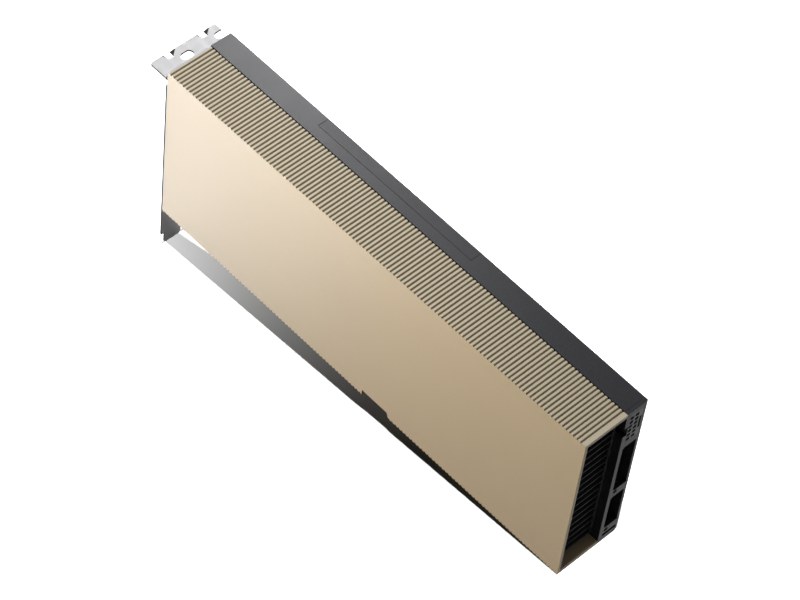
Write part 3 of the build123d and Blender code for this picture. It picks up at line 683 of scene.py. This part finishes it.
def lamps(scene, rows):
    """Soft square lamps, each from a row of one of the tables of lamps."""
    group = []
    for name, power, share, size, place, aim in rows:
        energy = getattr(scene.card_stage, power) * share
        made = light(scene, name, "AREA", energy, Vector(aim) - Vector(place))
        made.location = place
        made.visible_camera = False
        made.data.size = size
        made.data.cycles.use_multiple_importance_sampling = False
        group.append(made)
    return group


def gather(name, pieces):
    """Collection of the pieces that some lamps light, or that cast the shadows in their light."""
    made = bpy.data.collections.new(name)
    for piece in pieces:
        made.objects.link(piece)
    return made


def make_lamps(scene, floor):
    """Lamps for the whole card, for its black pieces and for the floor, each on its own pieces alone."""
    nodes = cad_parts
    on_card = lamps(scene, CARD_LAMPS) + suns(scene, CARD_SUNS)
    on_black = lamps(scene, BLACK_LAMPS)
    above, behind = suns(scene, FLOOR_SUNS)
    glows = lamps(scene, FLOOR_LAMPS)

    table = gather("table", [floor])
    walls = gather("walls", [nodes[name] for name in WALL_PIECES])
    card = gather("card", list(nodes.values()) + [bpy.data.objects["contact_pads"]])
    black = gather("black", [nodes[name] for name in BLACK_PIECES])
    for lit, group in ((card, on_card), (black, on_black), (table, [above, behind] + glows)):
        for made in group:
            made.light_linking.receiver_collection = lit
    behind.light_linking.blocker_collection = walls
    for made in glows:
        made.light_linking.blocker_collection = table


def make_camera(scene):
    """Camera at the photo's place, turned and zoomed as there."""
    data = bpy.data.cameras.new("photo_camera")
    data.sensor_width = 36.0
    data.sensor_fit = "HORIZONTAL"
    data.lens = scene.card_stage.lens
    data.clip_start = 0.05
    data.clip_end = 50.0
    camera = bpy.data.objects.new("photo_camera", data)
    right, up = Vector(CAMERA_RIGHT), Vector(CAMERA_UP)
    turn = Matrix((right, up, right.cross(up))).transposed().to_4x4()
    camera.matrix_world = Matrix.Translation(CAMERA_PLACE) @ turn
    scene.collection.objects.link(camera)
    scene.camera = camera


class CARD_OT_stage(Operator):
    """White floor under the bracket's tabs and the rear edge, soft lamps and the camera"""
    bl_idname = "card.stage"
    bl_label = "Stage"

    def execute(self, context):
        scene = context.scene
        floor = make_floor(scene)
        make_surround(scene)
        make_lamps(scene, floor)
        make_camera(scene)
        scene.view_settings.view_transform = "Standard"
        return {"FINISHED"}


class CARD_PT_workshop(Panel):
    """Finishes and stage of the card"""
    bl_label = "Accelerator card"
    bl_idname = "CARD_PT_workshop"
    bl_space_type = "VIEW_3D"
    bl_region_type = "UI"
    bl_category = "Card"

    def draw(self, context):
        for operator in OPERATORS:
            self.layout.operator(operator.bl_idname)
        for name, group in SETTINGS.items():
            box = self.layout.box()
            for setting in group.__annotations__:
                box.prop(getattr(context.scene, name), setting)


SETTINGS = {
    "card_shell": ShellSettings,
    "card_cooling": CoolingSettings,
    "card_board": BoardSettings,
    "card_bracket": BracketSettings,
    "card_stage": StageSettings,
}
OPERATORS = (
    CARD_OT_shroud,
    CARD_OT_black_shell,
    CARD_OT_cooling,
    CARD_OT_board,
    CARD_OT_contacts,
    CARD_OT_socket,
    CARD_OT_screws,
    CARD_OT_bracket,
    CARD_OT_stage,
)


def register():
    for name, group in SETTINGS.items():
        bpy.utils.register_class(group)
        setattr(bpy.types.Scene, name, PointerProperty(type=group))
    for operator in OPERATORS:
        bpy.utils.register_class(operator)
    bpy.utils.register_class(CARD_PT_workshop)


def unregister():
    bpy.utils.unregister_class(CARD_PT_workshop)
    for operator in reversed(OPERATORS):
        bpy.utils.unregister_class(operator)
    for name, group in reversed(SETTINGS.items()):
        delattr(bpy.types.Scene, name)
        bpy.utils.unregister_class(group)


def main():
    register()
    bpy.ops.card.shroud()
    bpy.ops.card.black_shell()
    bpy.ops.card.cooling()
    bpy.ops.card.board()
    bpy.ops.card.contacts()
    bpy.ops.card.socket()
    bpy.ops.card.screws()
    bpy.ops.card.bracket()
    bpy.ops.card.stage()


if __name__ == "__main__":
    main()
